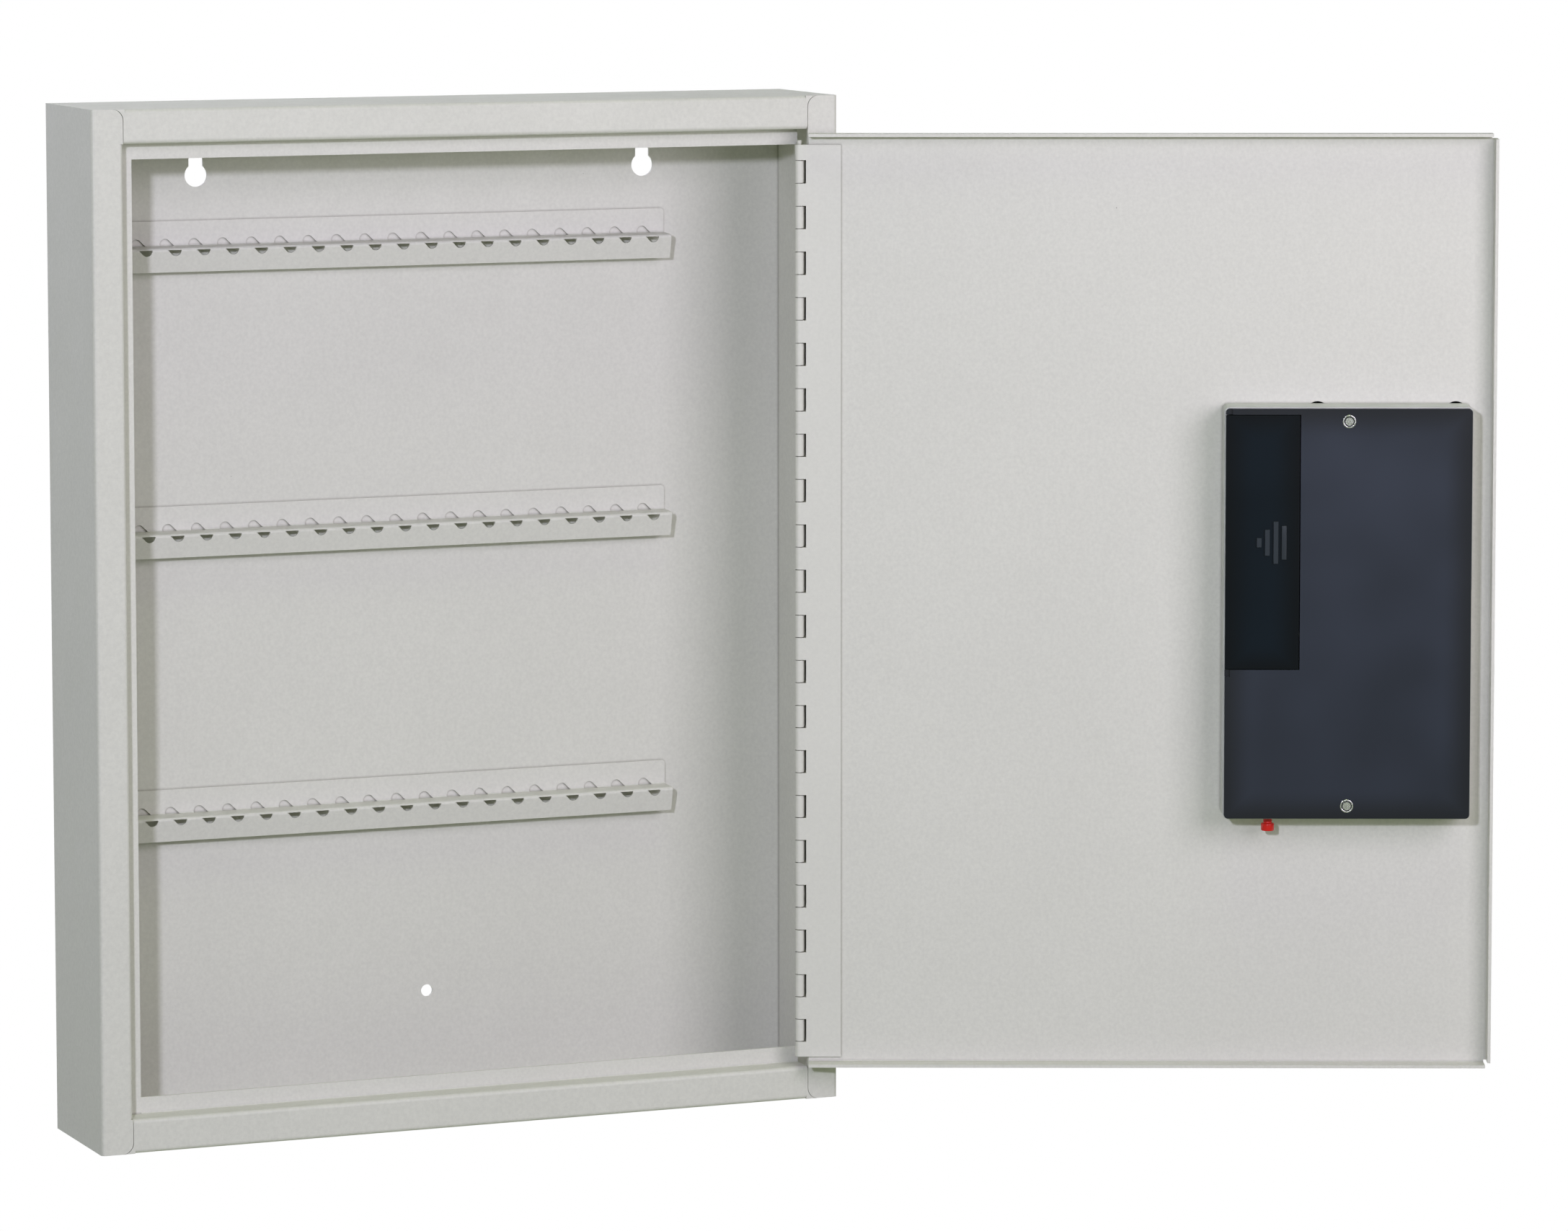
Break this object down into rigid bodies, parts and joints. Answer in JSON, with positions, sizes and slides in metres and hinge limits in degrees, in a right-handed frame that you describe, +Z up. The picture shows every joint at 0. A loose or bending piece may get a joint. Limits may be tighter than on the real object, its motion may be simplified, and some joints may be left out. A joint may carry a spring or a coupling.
{
  "type": "key cabinet",
  "caption": "Wall-mounted sheet-steel key cabinet with slotted hook strips, a piano-hinged door and an electronic keypad lock with a turning knob and sliding bolt.",
  "frame": {"origin": "centre of the flat back face that lies on the wall", "axes": "+Z up, +Y into the wall, the front faces -Y, +X towards the hinged side; the door is shown open 156.7 degrees"},
  "size_m": [0.6758, 0.2278, 0.5],
  "materials": {
    "painted_sheet": "light grey fine-texture powder coat",
    "painted_sides": "light grey fine-texture powder coat",
    "hinge_paint": "light grey powder coat over steel",
    "zinc_steel": "zinc plated",
    "pin_steel": "light grey powder coat over steel",
    "housing_plastic": "light grey moulded plastic",
    "black_plastic": "satin black moulded plastic",
    "battery_plastic": "satin black moulded plastic with finger marks",
    "chrome_screw": "polished",
    "cell_wrap": "plain shrink wrap",
    "board": "solder-masked board",
    "ribbon": "flat ribbon",
    "coil": "copper winding with a steel frame",
    "red_plastic": "glossy red moulded plastic",
    "key_plastic": "satin grey keycaps",
    "mat_rubber": "silicone rubber",
    "lens": "translucent lens",
    "knob_plastic": "satin black knob"
  },
  "bodies": {
    "cabinet": {"left_side_panel": "painted_sides", "right_side_panel": "painted_sides", "top_panel": "painted_sheet", "bottom_panel": "painted_sheet", "back_panel": "painted_sheet", "strike_plate": "painted_sheet", "hook_strip_top": "painted_sheet", "hook_strip_middle": "painted_sheet", "hook_strip_bottom": "painted_sheet", "hinge_leaf_body": "hinge_paint", "hinge_pin": "pin_steel"},
    "door": {"hinge_leaf_door": "hinge_paint", "door_panel": "painted_sheet", "lock_housing": "housing_plastic", "rear_cover": "black_plastic", "cover_screws": "chrome_screw", "screw_rings": "chrome_screw", "batteries": "cell_wrap", "battery_contacts": "zinc_steel", "control_board": "board", "ribbon_cable": "ribbon", "solenoid_body": "coil", "plunger_spring": "zinc_steel", "bolt_guide": "zinc_steel", "mounting_screws": "zinc_steel", "reset_spring": "zinc_steel", "reset_switch": "black_plastic", "keypad_frame": "black_plastic", "keypad_board": "board", "keypad_mat": "mat_rubber", "status_lenses": "lens"},
    "battery_cover": {"battery_cover": "battery_plastic"},
    "bolt": {"bolt": "zinc_steel"},
    "knob": {"knob": "knob_plastic", "spindle": "zinc_steel", "cam": "zinc_steel"},
    "plunger": {"solenoid_plunger": "zinc_steel"},
    "reset_button": {"reset_button": "red_plastic"},
    "key_1_cap": {"key_1": "key_plastic"},
    "key_2_cap": {"key_2": "key_plastic"},
    "key_3_cap": {"key_3": "key_plastic"},
    "key_4_cap": {"key_4": "key_plastic"},
    "key_5_cap": {"key_5": "key_plastic"},
    "key_6_cap": {"key_6": "key_plastic"},
    "key_7_cap": {"key_7": "key_plastic"},
    "key_8_cap": {"key_8": "key_plastic"},
    "key_9_cap": {"key_9": "key_plastic"},
    "key_star_cap": {"key_star": "key_plastic"},
    "key_0_cap": {"key_0": "key_plastic"},
    "key_hash_cap": {"key_hash": "key_plastic"}
  },
  "joints": [
    {"name": "door_hinge", "type": "hinge", "parent": "cabinet", "child": "door", "pos_m": [0.1708, -0.0738, 0], "axis": [0, 0, 1], "range_deg": [-156.7, 15]},
    {"name": "knob_turn", "type": "hinge", "parent": "door", "child": "knob", "pos_m": [0.43256, -0.18653, -0.0009], "axis": [0.3955, 0.9184, 0], "range_deg": [0, 90]},
    {"name": "bolt_slide", "type": "slide", "parent": "door", "child": "bolt", "axis": [0.9184, -0.3955, 0], "range_m": [0, 0.014]},
    {"name": "battery_cover_slide", "type": "slide", "parent": "door", "child": "battery_cover", "axis": [-0.9184, 0.3955, 0], "range_m": [0, 0.038]},
    {"name": "plunger_slide", "type": "slide", "parent": "door", "child": "plunger", "axis": [0, 0, -1], "range_m": [0, 0.004], "stiffness_N_per_m": 60, "springref_m": 0.0045, "deforming": ["plunger_spring"]},
    {"name": "reset_push", "type": "slide", "parent": "door", "child": "reset_button", "axis": [0, 0, 1], "range_m": [0, 0.0025], "stiffness_N_per_m": 150, "deforming": ["reset_spring"]},
    {"name": "key_1_press", "type": "slide", "parent": "door", "child": "key_1_cap", "axis": [-0.3955, -0.9184, 0], "range_m": [0, 0.001], "stiffness_N_per_m": 400},
    {"name": "key_2_press", "type": "slide", "parent": "door", "child": "key_2_cap", "axis": [-0.3955, -0.9184, 0], "range_m": [0, 0.001], "stiffness_N_per_m": 400},
    {"name": "key_3_press", "type": "slide", "parent": "door", "child": "key_3_cap", "axis": [-0.3955, -0.9184, 0], "range_m": [0, 0.001], "stiffness_N_per_m": 400},
    {"name": "key_4_press", "type": "slide", "parent": "door", "child": "key_4_cap", "axis": [-0.3955, -0.9184, 0], "range_m": [0, 0.001], "stiffness_N_per_m": 400},
    {"name": "key_5_press", "type": "slide", "parent": "door", "child": "key_5_cap", "axis": [-0.3955, -0.9184, 0], "range_m": [0, 0.001], "stiffness_N_per_m": 400},
    {"name": "key_6_press", "type": "slide", "parent": "door", "child": "key_6_cap", "axis": [-0.3955, -0.9184, 0], "range_m": [0, 0.001], "stiffness_N_per_m": 400},
    {"name": "key_7_press", "type": "slide", "parent": "door", "child": "key_7_cap", "axis": [-0.3955, -0.9184, 0], "range_m": [0, 0.001], "stiffness_N_per_m": 400},
    {"name": "key_8_press", "type": "slide", "parent": "door", "child": "key_8_cap", "axis": [-0.3955, -0.9184, 0], "range_m": [0, 0.001], "stiffness_N_per_m": 400},
    {"name": "key_9_press", "type": "slide", "parent": "door", "child": "key_9_cap", "axis": [-0.3955, -0.9184, 0], "range_m": [0, 0.001], "stiffness_N_per_m": 400},
    {"name": "key_star_press", "type": "slide", "parent": "door", "child": "key_star_cap", "axis": [-0.3955, -0.9184, 0], "range_m": [0, 0.001], "stiffness_N_per_m": 400},
    {"name": "key_0_press", "type": "slide", "parent": "door", "child": "key_0_cap", "axis": [-0.3955, -0.9184, 0], "range_m": [0, 0.001], "stiffness_N_per_m": 400},
    {"name": "key_hash_press", "type": "slide", "parent": "door", "child": "key_hash_cap", "axis": [-0.3955, -0.9184, 0], "range_m": [0, 0.001], "stiffness_N_per_m": 400}
  ],
  "couplings": [
    {"joint": "bolt_slide", "follows": "knob_turn", "m_per_rad": 0.0089126}
  ]
}
